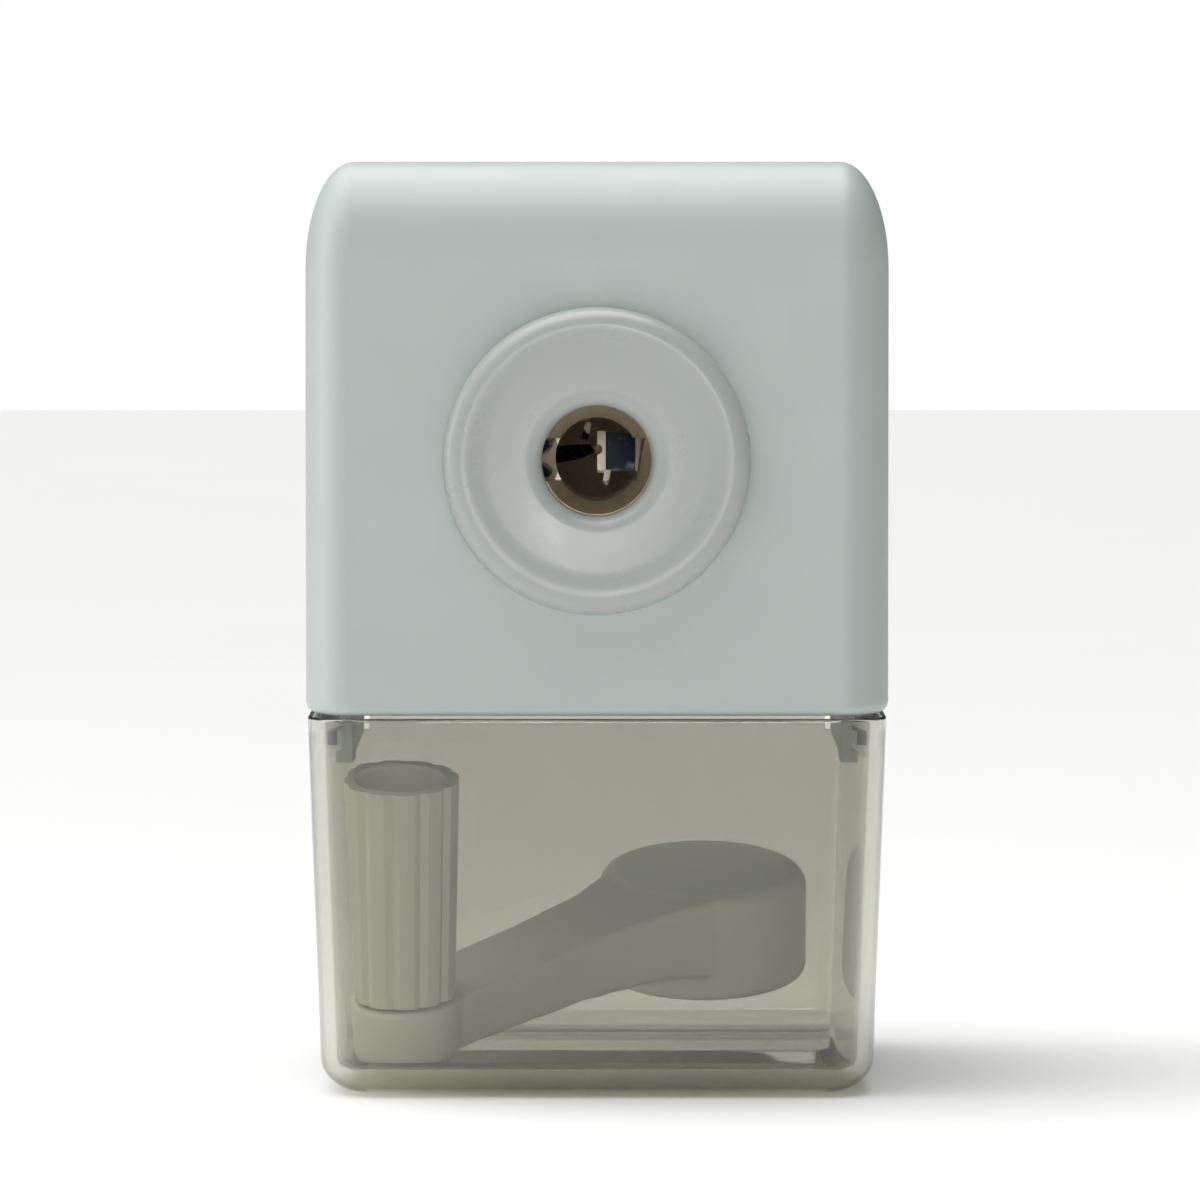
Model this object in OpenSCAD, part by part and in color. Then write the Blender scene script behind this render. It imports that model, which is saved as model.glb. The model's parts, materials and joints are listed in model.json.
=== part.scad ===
// Hand-crank pencil sharpener with a pull-out shavings bin. The detachable crank is stored in the bin.
// Millimetres, +Z up, front towards -Y. Origin: centre of the underside, on the surface it stands on.

/* [Casing] */
// Width of the casing, along X
body_w = 60; // [58:1:64]
// Depth of the casing, along Y
body_d = 72; // [72:1:76]
// Height of the whole sharpener
body_h = 96; // [95:1:100]
// Thickness of the casing's walls
wall = 2; // [1.8:0.1:2.2]
// Radius of the casing's upright corners, seen from above
corner_r = 7; // [5:0.5:8]
// Radius of the long top edges at the front and the rear
brow_r = 9; // [6:0.5:9]
// Radius of the top edges along the sides
shoulder_r = 6; // [4:0.5:6]

/* [Bin] */
// Height of the shavings bin, up to the seam
bin_h = 39; // [38.8:0.1:39.1]
// Thickness of the bin's walls
bin_wall = 1.3; // [1.2:0.1:1.4]
// Thickness of the bin's floor
bin_floor = 2; // [1.8:0.1:2]
// How far each side of the bin leans in from its rim to its foot
bin_draft = 1.3; // [1:0.1:1.3]

/* [Pencil guide] */
// Height of the pencil's axis above the base
axis_z = 65.5; // [64:0.5:67]
// Outer radius of the entry ring
ring_r = 15.7; // [14:0.1:16]
// How far the entry ring stands out of the front
ring_out = 3; // [2:0.5:4]
// Radius of the pencil hole
hole_r = 5.65; // [5:0.05:5.7]

/* [Cutting mechanism] */
// Half of the angle of a sharpened pencil's cone, in degrees
cone_a = 10.5; // [10.4:0.1:10.6]
// Radius over the helical cutter's blades
cutter_r = 2.4; // [2.3:0.1:2.4]
// Teeth of the fixed ring gear
ring_teeth = 30; // [30:1:30]
// Teeth of the cutter's pinion
pinion_teeth = 9; // [9:1:9]
// Gear module
gear_m = 0.85; // [0.85:0.01:0.85]
// Width of the gear faces
face_w = 4; // [3.5:0.1:4]

/* [Crank] */
// Distance from the hub's axis to the knob's axis
crank_l = 53.3; // [50:0.1:53.5]
// Radius of the turning knob at its free end
knob_r = 6.2; // [6:0.05:6.3]
// Length of the turning knob
knob_l = 23.3; // [20:0.1:23.5]
// Number of flutes round the knob
flutes = 12; // [10:1:16]
// Radius of the crank's hub
hub_r = 11.15; // [10:0.05:11.2]
// Radius of the drive spindle in its bearing
spindle_r = 3; // [2.9:0.05:3]

/* [Hidden] */
$fn = 64;
facets = 32;

white = [0.90, 0.92, 0.92];
smoke = [0.45, 0.43, 0.38, 0.45];
steel = [0.72, 0.73, 0.75];
dark_steel = [0.16, 0.17, 0.20];
tan = [0.62, 0.52, 0.38];
brass = [0.74, 0.62, 0.36];
ivory = [0.86, 0.85, 0.80];

// Casing stations, from front to rear
front_y = -body_d / 2;
rear_y = body_d / 2;
wall_in = front_y + wall;
cover_y = rear_y - brow_r;
seam = 0.35;
case_z = bin_h + seam;
rail_x = 25.9;
rail_y = wall_in + 4;
rail_z = bin_h - 4.7;
play = 0.15;

// Mechanism stations along Y
sleeve_end = wall_in + 0.7;
sleeve_r = 8.5;
frame_y = wall_in + 0.8;
plate_t = 2.6;
ear_y = frame_y + 4.2;
flange_y = frame_y + plate_t + 0.3;
tip_y = 9;
block_end = 16;
hub_end = 20.2;
rear_plate_y = 21;
rear_plate_end = 24;
spindle_end = rear_y + 9;
drive_r = spindle_r - 0.2;
flat_l = 3.8;
frame_r = 17.5;
gear_seat_r = 15.6;
post_x = 14.7;
journal_r = 7.95;
throat_r = 4.3;

// Cutter axis: it leans by the cone's half angle, so that the blades lie along the cone
function cutter_x(y) = (tip_y - y) * tan(cone_a) + cutter_r / cos(cone_a);
gear_offset = gear_m * (ring_teeth - pinion_teeth) / 2;
gear_y = tip_y - (gear_offset - cutter_r / cos(cone_a)) / tan(cone_a);
apex_y = tip_y + cutter_r / sin(cone_a);
near_scale = (apex_y - gear_y + face_w / 2) / (apex_y - gear_y);
far_scale = (apex_y - gear_y - face_w / 2) / (apex_y - gear_y);
pinion_z = gear_y / cos(cone_a);
axle_r = 0.9;
blade_front = pinion_z + face_w / 2;
blade_back = tip_y - 1;
slot_half = 2.2;
set_screw_y = (flange_y + gear_y - face_w / 2 - 0.25) / 2;
cross_pin_y = hub_end - 2.2;

// Screws
screw_r = 1.22;
pilot_r = 1.25;
screw_hole_r = 1.4;
rear_screws = [[-19, case_z + 9], [19, case_z + 9], [-19, body_h - 10], [19, body_h - 10]];
rear_head_y = rear_y - 4;
boss_y = 10;
boss_out_r = 3.3;
floor_screws = [[-20.5, -31.5], [20.5, -31.5], [-20.5, 6], [20.5, 6]];

// Crank. Its own frame has the knob's axis as z, with z = 0 at the boss's foot, and x towards the hub.
// In the bin it stands on the boss and leans back, so that the hub rests on the rear wall
boss_at = [-20.4, -20.3, 3.45];
lean = 14;
turn = 53.4;
boss_r = 6.3;
boss_top = 6.3;
knob_z = boss_top + 0.4;
cup_z = knob_z + 6;
hub_z = -5.2;
hub_top = 6.4;

// ---- shared shapes ----

// A rectangle with round corners; the lower two may have a radius of their own
module round_rect(w, h, r, low_r) {
    hull()
        for (s = [-1, 1]) {
            translate([s * (w / 2 - r), h - r]) circle(r, $fn = facets);
            translate([s * (w / 2 - low_r), low_r]) circle(low_r, $fn = facets);
        }
}

// Box of the casing: its front, side and top outlines are each rounded, and the box is what they share
module soft_box(w, y0, y1, z0, z1, r_plan, r_brow, r_shoulder, r_low) {
    d = y1 - y0;
    h = z1 - z0;
    intersection() {
        translate([0, y1, z0]) rotate([90, 0, 0]) linear_extrude(d) round_rect(w, h, r_shoulder, r_low);
        translate([-w / 2, (y0 + y1) / 2, z0]) rotate([90, 0, 90])
            linear_extrude(w) round_rect(d, h, r_brow, r_low);
        translate([0, y0, z0]) linear_extrude(h) round_rect(w, d, r_plan, r_plan);
    }
}

// Cylinder along +Y round the pencil's axis, or moved from it by x and z
module along_y(r, y0, y1, x = 0, z = 0, r2 = undef) {
    translate([x, y0, axis_z + z]) rotate([-90, 0, 0])
        cylinder(h = y1 - y0, r1 = r, r2 = is_undef(r2) ? r : r2);
}

// Ring along +Y round the pencil's axis
module ring_y(r_out, r_in, y0, y1, x = 0, z = 0) {
    difference() {
        along_y(r_out, y0, y1, x, z);
        along_y(r_in, y0 - 1, y1 + 1, x, z);
    }
}

// Turned part round the pencil's axis, from [radius, y] points
module turned_y(points) {
    translate([0, 0, axis_z]) rotate([-90, 0, 0]) rotate_extrude() polygon(points);
}

// Places children on the cutter's leaning axis; their z = 0 is where it crosses y = 0
module on_cutter_axis() {
    translate([-cutter_x(0), 0, axis_z]) rotate([0, 0, -cone_a]) rotate([-90, 0, 0]) children();
}

// Points of an arc, in degrees
function arc(cx, cy, r, a0, a1, n = 8) =
    [for (i = [0:n]) [cx + r * cos(a0 + (a1 - a0) * i / n), cy + r * sin(a0 + (a1 - a0) * i / n)]];

// Involute of an angle's tangent, in degrees
function inv(a) = tan(a) * 180 / PI - a;

// Half of the angle that a tooth fills at radius r
function tooth_half(n, m, pa, thin, r) =
    let (pitch = n * m / 2, base = pitch * cos(pa), top = acos(min(1, base / r)))
        90 / n + inv(pa) - inv(top) - thin / pitch * 90 / PI;

// Spur gear outline. thin is taken off each tooth's width; add and ded are its height over and under the
// pitch circle
module gear_2d(n, m, add, ded, thin) {
    pa = 25;
    pitch = n * m / 2;
    radii = [for (i = [0:3]) max(pitch - ded, pitch * cos(pa)) * (1 - i / 3) + (pitch + add) * i / 3];
    flank = concat([[pitch - ded, tooth_half(n, m, pa, thin, radii[0])]],
                   [for (r = radii) [r, tooth_half(n, m, pa, thin, r)]]);
    last = len(flank) - 1;
    side = concat([for (p = flank) [p[0], -p[1]]], [for (i = [last:-1:0]) flank[i]]);
    polygon([for (k = [0:n - 1]) for (p = side)
        [p[0] * cos(360 / n * k + p[1]), p[0] * sin(360 / n * k + p[1])]]);
}

// Countersunk-head screw that points along -Z from the origin
module screw(shank_l, head_r, head_h) {
    cylinder(h = head_h, r1 = head_r, r2 = head_r * 0.8);
    translate([0, 0, -shank_l]) cylinder(h = shank_l + 0.01, r = screw_r);
}

// ---- housing ----

// Space inside the casing, open at the foot and the rear
module casing_room() {
    soft_box(body_w - 2 * wall, wall_in, rear_y + 20, case_z - 30, body_h - wall,
             corner_r - wall, brow_r - wall, shoulder_r - wall, 1);
}

module main_casing() {
    color(white) difference() {
        soft_box(body_w, front_y, rear_y, case_z, body_h, corner_r, brow_r, shoulder_r, 2);
        casing_room();
        translate([-body_w, cover_y, 0]) cube([2 * body_w, 20, 2 * body_h]);
        along_y(sleeve_r + 0.05, front_y - 5, wall_in + 5);
    }
}

// Screw bosses on the casing's walls: for the rear cover, the gear frame and the floor plate
module casing_bosses() {
    color(white) difference() {
        intersection() {
            casing_room();
            union() {
                for (p = rear_screws) {
                    along_y(boss_out_r, boss_y, cover_y - 0.5, p[0], p[1] - axis_z);
                    translate([p[0] > 0 ? p[0] : 1 - body_w / 2, boss_y, p[1] - 0.8])
                        cube([body_w / 2 - 1 - abs(p[0]), cover_y - boss_y - 1, 1.6]);
                }
                for (x = [-post_x, post_x]) for (z = [-post_x, post_x])
                    along_y(3.2, wall_in - 0.5, ear_y, x, z);
                for (p = floor_screws) {
                    translate([p[0], p[1], case_z + wall]) cylinder(h = 7, r = 3);
                    if (p[1] > 0)
                        translate([p[0] > 0 ? p[0] : -body_w / 2 + 1, p[1] - 1, case_z + wall])
                            cube([body_w / 2 - 1 - abs(p[0]), 2, 7]);
                }
            }
        }
        for (p = rear_screws)
            along_y(pilot_r, boss_y + 3, cover_y, p[0], p[1] - axis_z);
        for (x = [-post_x, post_x]) for (z = [-post_x, post_x])
            along_y(pilot_r, wall_in + 0.1, ear_y + 1, x, z);
        for (p = floor_screws)
            translate([p[0], p[1], case_z]) cylinder(h = 8.5, r = pilot_r);
    }
}

// Rear shell: a shallow cup that meets the casing at the parting line, with a lip that sits inside it
module rear_cover() {
    lip = 1.4;
    inside = body_w / 2 - wall;
    color(white) difference() {
        union() {
            difference() {
                soft_box(body_w, front_y, rear_y, case_z, body_h, corner_r, brow_r, shoulder_r, 2);
                soft_box(body_w - 2 * wall, front_y - 20, rear_y - wall, case_z + wall, body_h - wall,
                         corner_r - wall, brow_r - wall, shoulder_r - wall, 1);
                translate([-body_w, cover_y + 0.1 - 200, 0]) cube([2 * body_w, 200, 2 * body_h]);
            }
            for (s = [-1, 1]) {
                translate([s * (inside - play - lip / 2) - lip / 2, cover_y - 2, axis_z - 12]) cube([lip, 5, 26]);
                translate([s * (inside - lip / 2) - lip / 2 - 0.3, cover_y + 0.4, axis_z - 12])
                    cube([lip + 0.6, 3, 26]);
            }
            translate([-15, cover_y - 2, body_h - wall - play - lip]) cube([30, 5, lip]);
            translate([-15, cover_y + 0.4, body_h - wall - lip]) cube([30, 3, lip + 0.5]);
            for (p = rear_screws)
                along_y(boss_out_r, cover_y + 0.1, rear_y - 1, p[0], p[1] - axis_z);
            ring_y(6.5, 4.2, rear_y - 5, rear_y - 1);
        }
        along_y(4.2, cover_y - 5, rear_y + 5);
        for (p = rear_screws) {
            along_y(screw_hole_r, cover_y - 5, rear_y + 5, p[0], p[1] - axis_z);
            along_y(2.6, rear_head_y - 1.1, rear_y + 5, p[0], p[1] - axis_z);
        }
    }
}

module rear_cover_screws() {
    color(steel) for (p = rear_screws)
        translate([p[0], rear_head_y - 1.05, p[1]]) rotate([-90, 0, 0]) difference() {
            screw(17, 2.4, 1);
            for (a = [0, 90]) rotate(a) translate([-1.3, -0.25, 0.5]) cube([2.6, 0.5, 1]);
        }
}

module entry_ring() {
    face = front_y - ring_out;
    color(white) turned_y(concat(
        [[sleeve_r, sleeve_end], [sleeve_r, front_y], [ring_r, front_y]],
        arc(ring_r - 1.3, face + 1.3, 1.3, 0, -90),
        [[ring_r - 2.4, face + 0.1], [ring_r - 3.2, face + 0.5], [hole_r + 3, face + 0.5]],
        arc(hole_r + 1.3, face + 1.5, 1.3, -90, -180),
        [[hole_r, sleeve_end]]));
}

module ring_retainer() {
    color(steel) difference() {
        ring_y(11.5, sleeve_r + 0.02, wall_in, sleeve_end - 0.05);
        for (a = [45:90:315])
            translate([0, 0, axis_z]) rotate([0, a, 0]) translate([8, wall_in - 1, -0.6]) cube([2, 3, 1.2]);
    }
}

// Underside of the casing: a chute for the shavings, and two rails that the bin hangs on
module floor_plate() {
    half = body_w / 2 - wall - play;
    y0 = wall_in + play;
    y1 = cover_y - play;
    color(white) difference() {
        union() {
            translate([-half, y0, case_z]) cube([2 * half, y1 - y0, wall - 0.05]);
            for (s = [-1, 1]) {
                translate([s * rail_x - 0.6, rail_y, rail_z]) cube([1.2, y1 - rail_y, case_z - rail_z + 0.1]);
                translate([s * (rail_x + 0.3) - 0.9, rail_y, rail_z]) cube([1.8, y1 - rail_y, 1.2]);
            }
        }
        translate([-16, -27, case_z - 1]) cube([32, 44, 5]);
        for (p = floor_screws) {
            translate([p[0], p[1], case_z - 1]) cylinder(h = 5, r = screw_hole_r);
            translate([p[0], p[1], case_z - 1]) cylinder(h = 2.05, r = 2.6);
        }
        for (x = [-half, half]) for (y = [y0, y1])
            translate([x, y, case_z - 0.5]) rotate(45) translate([-3, -3, 0]) cube([6, 6, 3]);
    }
}

module floor_plate_screws() {
    color(steel) for (p = floor_screws)
        translate([p[0], p[1], case_z + 1]) mirror([0, 0, 1]) screw(7, 2.3, 0.95);
}

// Frame that holds the ring gear and both bearings; its upper half is a hood that turns shavings down
module gear_frame() {
    color([0.70, 0.72, 0.72]) difference() {
        union() {
            along_y(frame_r, frame_y, gear_y + face_w / 2 + 1.5);
            for (x = [-post_x, post_x]) for (z = [-post_x, post_x])
                along_y(3.8, ear_y, ear_y + plate_t, x, z);
            intersection() {
                along_y(frame_r, frame_y + 1, rear_plate_end);
                translate([-frame_r, -body_d, axis_z - 7]) cube([2 * frame_r, 2 * body_d, 40]);
            }
        }
        along_y(gear_seat_r, frame_y + plate_t, rear_plate_y);
        along_y(9.6, frame_y - 1, frame_y + 5);
        along_y(5.2, rear_plate_y - 1, rear_plate_end + 1);
        translate([-frame_r - 1, gear_y + face_w / 2 + 0.5, axis_z - 20])
            cube([2 * frame_r + 2, rear_plate_y - gear_y - face_w / 2 - 0.5, 24]);
        for (x = [-post_x, post_x]) for (z = [-post_x, post_x])
            along_y(screw_hole_r, ear_y - 1, ear_y + 5, x, z);
    }
}

module ring_gear() {
    color(dark_steel) difference() {
        along_y(gear_seat_r - 0.01, gear_y - face_w / 2, gear_y + face_w / 2);
        translate([0, gear_y - face_w / 2 - 0.01, axis_z]) rotate([-90, 0, 0])
            linear_extrude(face_w + 0.02, scale = far_scale / near_scale)
                scale(near_scale) gear_2d(ring_teeth, gear_m, 1.2, 0.42, -0.1);
    }
}

module frame_screws() {
    color(steel) for (x = [-post_x, post_x]) for (z = [-post_x, post_x])
        translate([x, ear_y + plate_t, axis_z + z]) rotate([-90, 0, 0]) screw(6, 2.4, 1.5);
}

module front_bearing_bush() {
    color(brass) ring_y(9.58, journal_r + 0.05, frame_y, frame_y + plate_t);
}

module rear_bearing_bush() {
    color(brass) difference() {
        union() {
            along_y(5.18, rear_plate_y - 0.1, rear_plate_end);
            along_y(6.4, rear_plate_y - 0.6, rear_plate_y);
        }
        along_y(spindle_r + 0.05, rear_plate_y - 2, rear_plate_end + 1);
    }
}

// ---- cutter carrier and what turns with it ----

// Places children on the crank's own frame
module in_bin() {
    translate(boss_at) rotate([lean, 0, 0]) rotate(turn) children();
}

// Turned casting: a journal and a flange at the front, a bored-out cone for the pencil, a block and a hub
// at the rear. One side is open for the cutter, the other has a slot for the shavings
module cutter_carrier() {
    mouth = frame_y + 3;
    shoulder = gear_y + face_w / 2 + 0.4;
    bay_z = pinion_z - face_w / 2 - 0.3;
    color(tan) difference() {
        turned_y([
            [5.6, frame_y + 0.2], [journal_r, frame_y + 0.2], [journal_r, flange_y], [11.8, flange_y],
            [11.8, gear_y - face_w / 2 - 0.25], [10, gear_y - face_w / 2 - 0.25], [10, shoulder],
            [10.6, shoulder], [10.6, shoulder + 3], [7.5, tip_y], [7.5, block_end], [5.5, block_end],
            [5.5, hub_end], [spindle_r, hub_end], [spindle_r, block_end + 0.2], [0, block_end + 0.2],
            [0, tip_y], [0.5, tip_y - 0.5], [0.5, tip_y - 0.5 / tan(cone_a)],
            [throat_r, tip_y - throat_r / tan(cone_a)], [throat_r, mouth]]);
        on_cutter_axis() {
            translate([0, 0, pinion_z]) cylinder(h = blade_back + 0.5 - pinion_z, r = cutter_r + 0.25);
            translate([-15, -cutter_r - 0.25, pinion_z])
                cube([15, 2 * cutter_r + 0.5, blade_back + 0.5 - pinion_z]);
            translate([0, 0, bay_z]) cylinder(h = face_w + 0.6, r = 5);
            translate([-15, -5, bay_z]) cube([15, 10, face_w + 0.6]);
            translate([0, 0, -32]) cylinder(h = 46, r = axle_r);
        }
        translate([-6.4, frame_y - 1, axis_z - slot_half]) cube([3, 8, 2 * slot_half]);
        translate([0, tip_y - 3, axis_z]) rotate([90, 0, 0]) linear_extrude(tip_y + 31) {
            polygon([[0, -slot_half], [4.1, -slot_half], [4.9, slot_half], [0, slot_half]]);
            for (s = [0, 180]) rotate(s) translate([-1.1, slot_half]) rotate(-12) {
                translate([-0.35, -1]) square([0.7, 1.8]);
                translate([0, 0.8]) circle(0.35, $fn = 16);
            }
        }
        translate([2, -12, axis_z - slot_half]) cube([12, 14, 2 * slot_half]);
        translate([-13, set_screw_y, axis_z]) rotate([0, 90, 0]) cylinder(h = 3, r = 0.6);
        translate([0, cross_pin_y, axis_z - 8]) cylinder(h = 16, r = 0.8);
    }
}

module drive_spindle() {
    color(steel) difference() {
        union() {
            along_y(spindle_r, block_end + 0.2, rear_y);
            along_y(drive_r, rear_y - 0.1, spindle_end);
        }
        translate([drive_r - 0.6, spindle_end - flat_l, axis_z - 5]) cube([5, 20, 10]);
        ring_y(5, spindle_r - 0.5, rear_plate_end + 0.85, rear_plate_end + 1.65);
        translate([0, cross_pin_y, axis_z - 8]) cylinder(h = 16, r = 0.8);
    }
}

module spindle_cross_pin() {
    color(steel) translate([0, cross_pin_y, axis_z - 5.4]) cylinder(h = 10.8, r = 0.79);
}

module spindle_washer() {
    color(steel) ring_y(5.6, spindle_r + 0.03, rear_plate_end + 0.1, rear_plate_end + 0.7);
}

module spindle_clip() {
    color(dark_steel) difference() {
        ring_y(5, spindle_r - 0.48, rear_plate_end + 0.9, rear_plate_end + 1.6);
        translate([-1.6, rear_plate_end, axis_z - 8]) cube([3.2, 4, 8]);
    }
}

module cutter_axle() {
    color(steel) on_cutter_axis() translate([0, 0, -31]) cylinder(h = 44.8, r = axle_r - 0.01);
}

module axle_set_screw() {
    x = cutter_x(set_screw_y);
    color(dark_steel) translate([-11.7, set_screw_y, axis_z]) rotate([0, 90, 0])
        cylinder(h = 11.65 - axle_r - x, r = 0.58);
}

// Hard plate at the end of the carrier's slot, beside the pencil's point
module point_stop() {
    stop_y = tip_y - 3;
    color(dark_steel) translate([0.9, stop_y - 0.8, axis_z - slot_half + 0.05])
        cube([3.15, 0.8, 2 * slot_half - 0.1]);
}

// Eight blades wound round a core
module helical_cutter() {
    blades = 8;
    core = cutter_r - 0.6;
    long = blade_back - blade_front;
    color(dark_steel) on_cutter_axis() translate([0, 0, blade_front]) difference() {
        linear_extrude(long, twist = -260, slices = 26)
            polygon([for (k = [0:blades - 1]) for (p = [[core, 0], [cutter_r, 0.30], [cutter_r, 0.42], [core, 0.72]])
                [p[0] * cos(360 / blades * (k + p[1])), p[0] * sin(360 / blades * (k + p[1]))]]);
        translate([0, 0, -1]) cylinder(h = long + 2, r = axle_r + 0.05);
    }
}

module cutter_pinion() {
    color(steel) on_cutter_axis() translate([0, 0, pinion_z - face_w / 2]) difference() {
        linear_extrude(face_w, scale = far_scale / near_scale)
            scale(near_scale) rotate(180 / pinion_teeth) gear_2d(pinion_teeth, gear_m, 0.7, 0.95, 0.12);
        translate([0, 0, -1]) cylinder(h = face_w + 2, r = axle_r + 0.05);
    }
}

// ---- bin and stored crank ----

// Solid of the bin's outside, or of its inside when pulled in by t with its floor at z0. Rings that
// follow a quarter circle of radius r round its foot
module bin_form(t, z0, top, r) {
    half_w = body_w / 2 - 0.15 - t;
    half_d = body_d / 2 - 0.15 - t;
    plan_r = corner_r - t;
    levels = concat([[0, top - 0.5]],
        [for (a = [0:18:90]) [bin_draft * (1 - z0 / bin_h) + r * (1 - cos(a)), z0 + r * (1 - sin(a))]]);
    hull() for (sx = [-1, 1]) for (sy = [-1, 1]) for (l = levels)
        translate([sx * (half_w - plan_r), sy * (half_d - plan_r), l[1]])
            translate([-sx * min(l[0], bin_draft), -sy * min(l[0], bin_draft), 0])
                cylinder(h = l[1] > z0 + r ? 0.5 : 0.01, r = plan_r - max(0, l[0] - bin_draft), $fn = facets);
}

module bin() {
    color(smoke) difference() {
        union() {
            difference() {
                bin_form(0, 0, bin_h, 3.5);
                bin_form(bin_wall, bin_floor, bin_h + 0.6, 2);
            }
            for (s = [-1, 1])
                translate([s * (rail_x + 1.9) - 1.1, rail_y, rail_z + 1.7]) cube([2.2, cover_y - rail_y - 1, 1.4]);
        }
        for (s = [-1, 1])
            translate([s * (rail_x + 0.3) - 1.3, cover_y - 2, rail_z - 0.3]) cube([2.6, 15, 10]);
    }
}

// A station of the arm at x along the crank
module arm_at(x, r, z0, z1) {
    translate([x, 0, z0 + 1]) cylinder(h = z1 - z0 - 2, r = r, $fn = facets);
    translate([x, 0, z0]) cylinder(h = z1 - z0, r = r - 1, $fn = facets);
}

module crank_arm() {
    color(ivory) in_bin() difference() {
        union() {
            cylinder(h = 1.2, r1 = boss_r - 1.2, r2 = boss_r);
            translate([0, 0, 1.2]) cylinder(h = boss_top - 1.2, r = boss_r);
            hull() {
                arm_at(2, 5.6, 0.2, boss_top);
                arm_at(crank_l * 0.5, 5.4, 0, hub_top);
            }
            hull() {
                arm_at(crank_l * 0.5, 5.4, 0, hub_top);
                arm_at(crank_l - 6, 8, -1, hub_top);
            }
            translate([crank_l, 0, hub_z]) {
                cylinder(h = 1, r1 = hub_r - 1, r2 = hub_r);
                translate([0, 0, 1]) cylinder(h = hub_top - hub_z - 2.5, r = hub_r);
                translate([0, 0, hub_top - hub_z - 1.5]) cylinder(h = 1.5, r1 = hub_r, r2 = hub_r - 1.5);
            }
        }
        translate([crank_l, 0, hub_z - 1]) cylinder(h = 10, r = 5.2);
        translate([0, 0, 1]) cylinder(h = 20, r = 1.5);
        translate([0, 0, boss_top]) cylinder(h = 10, r = knob_r + 0.4);
    }
}

// Steel insert of the hub. Its blind hole is round at the mouth and D-shaped at the bottom, like the spindle
module crank_socket() {
    deep = 7.5;
    color(steel) in_bin() translate([crank_l, 0, hub_z + 0.1]) difference() {
        cylinder(h = deep + 1.3, r = 5.18);
        translate([0, 0, -1]) cylinder(h = deep - flat_l + 0.8, r = drive_r + 0.05);
        intersection() {
            cylinder(h = deep, r = drive_r + 0.05);
            translate([-5, -5, -1]) cube([5 + drive_r - 0.55, 10, 12]);
        }
    }
}

module knob_pin() {
    color(steel) in_bin() difference() {
        union() {
            translate([0, 0, 1.05]) cylinder(h = boss_top, r = 1.48);
            translate([0, 0, boss_top]) cylinder(h = cup_z + 0.15 - boss_top, r = 2.05);
            translate([0, 0, cup_z + 0.1]) cylinder(h = 1.6, r1 = 3.6, r2 = 3);
        }
        for (a = [0, 90]) rotate(a) translate([-1.8, -0.35, cup_z + 0.9]) cube([3.6, 0.7, 2]);
    }
}

module knob_washer() {
    color(steel) in_bin() translate([0, 0, boss_top + 0.05]) difference() {
        cylinder(h = 0.25, r = 4.4);
        translate([0, 0, -1]) cylinder(h = 3, r = 2.08);
    }
}

// Hollow knob that turns on its pin; shallow flutes run up its side
module crank_knob() {
    foot_r = knob_r - 0.5;
    color(ivory) in_bin() translate([0, 0, knob_z]) difference() {
        union() {
            cylinder(h = knob_l - 0.8, r1 = foot_r, r2 = knob_r);
            translate([0, 0, knob_l - 0.8]) cylinder(h = 0.8, r1 = knob_r, r2 = knob_r - 0.8);
        }
        for (k = [0:flutes - 1]) rotate(360 / flutes * k)
            translate([knob_r + 2.2, 0, 1.2]) cylinder(h = 30, r = 2.5);
        translate([0, 0, -1]) cylinder(h = 20, r = 2.1);
        translate([0, 0, cup_z - knob_z]) cylinder(h = 30, r = 4.4);
    }
}

main_casing();
casing_bosses();
rear_cover();
rear_cover_screws();
entry_ring();
ring_retainer();
floor_plate();
floor_plate_screws();
gear_frame();
ring_gear();
frame_screws();
front_bearing_bush();
rear_bearing_bush();
cutter_carrier();
drive_spindle();
spindle_cross_pin();
spindle_washer();
spindle_clip();
cutter_axle();
axle_set_screw();
point_stop();
helical_cutter();
cutter_pinion();
bin();
crank_arm();
crank_socket();
knob_pin();
knob_washer();
crank_knob();
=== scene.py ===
"""Looks of a hand-crank pencil sharpener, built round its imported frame.

The sizes in the classes below are in millimetres, except where a docstring says metres. Blender's own unit
is the metre, so MM turns one into the other. The front of the object faces -Y, and it stands on Z = 0.
"""

import json
import logging
import math
from contextlib import contextmanager
from dataclasses import dataclass, field
from enum import Enum
from typing import Callable, Iterator, Sequence

import bmesh
import bpy
from mathutils import Matrix, Vector


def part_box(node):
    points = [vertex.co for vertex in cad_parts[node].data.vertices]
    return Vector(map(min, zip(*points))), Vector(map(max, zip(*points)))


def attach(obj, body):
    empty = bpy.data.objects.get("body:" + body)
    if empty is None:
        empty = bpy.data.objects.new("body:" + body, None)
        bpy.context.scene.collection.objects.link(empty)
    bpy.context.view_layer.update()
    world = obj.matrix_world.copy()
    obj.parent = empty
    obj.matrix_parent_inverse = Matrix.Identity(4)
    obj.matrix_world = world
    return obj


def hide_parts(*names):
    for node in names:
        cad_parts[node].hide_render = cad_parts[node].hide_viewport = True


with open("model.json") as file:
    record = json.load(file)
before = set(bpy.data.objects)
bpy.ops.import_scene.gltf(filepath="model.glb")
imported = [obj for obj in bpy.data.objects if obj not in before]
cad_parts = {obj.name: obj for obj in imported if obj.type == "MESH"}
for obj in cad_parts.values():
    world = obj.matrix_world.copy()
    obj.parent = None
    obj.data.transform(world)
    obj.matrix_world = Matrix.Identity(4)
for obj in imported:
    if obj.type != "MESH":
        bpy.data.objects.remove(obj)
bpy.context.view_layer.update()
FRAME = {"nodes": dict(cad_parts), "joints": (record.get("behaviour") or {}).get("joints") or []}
MM = 0.001
LOG = logging.getLogger("sharpener")

# A Mix node's colour sockets share their names with its other sockets, so they go by number
MIX_LOW = 6
MIX_HIGH = 7
MIX_COLOUR = 2


# ---- colours and nodes ----


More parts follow.
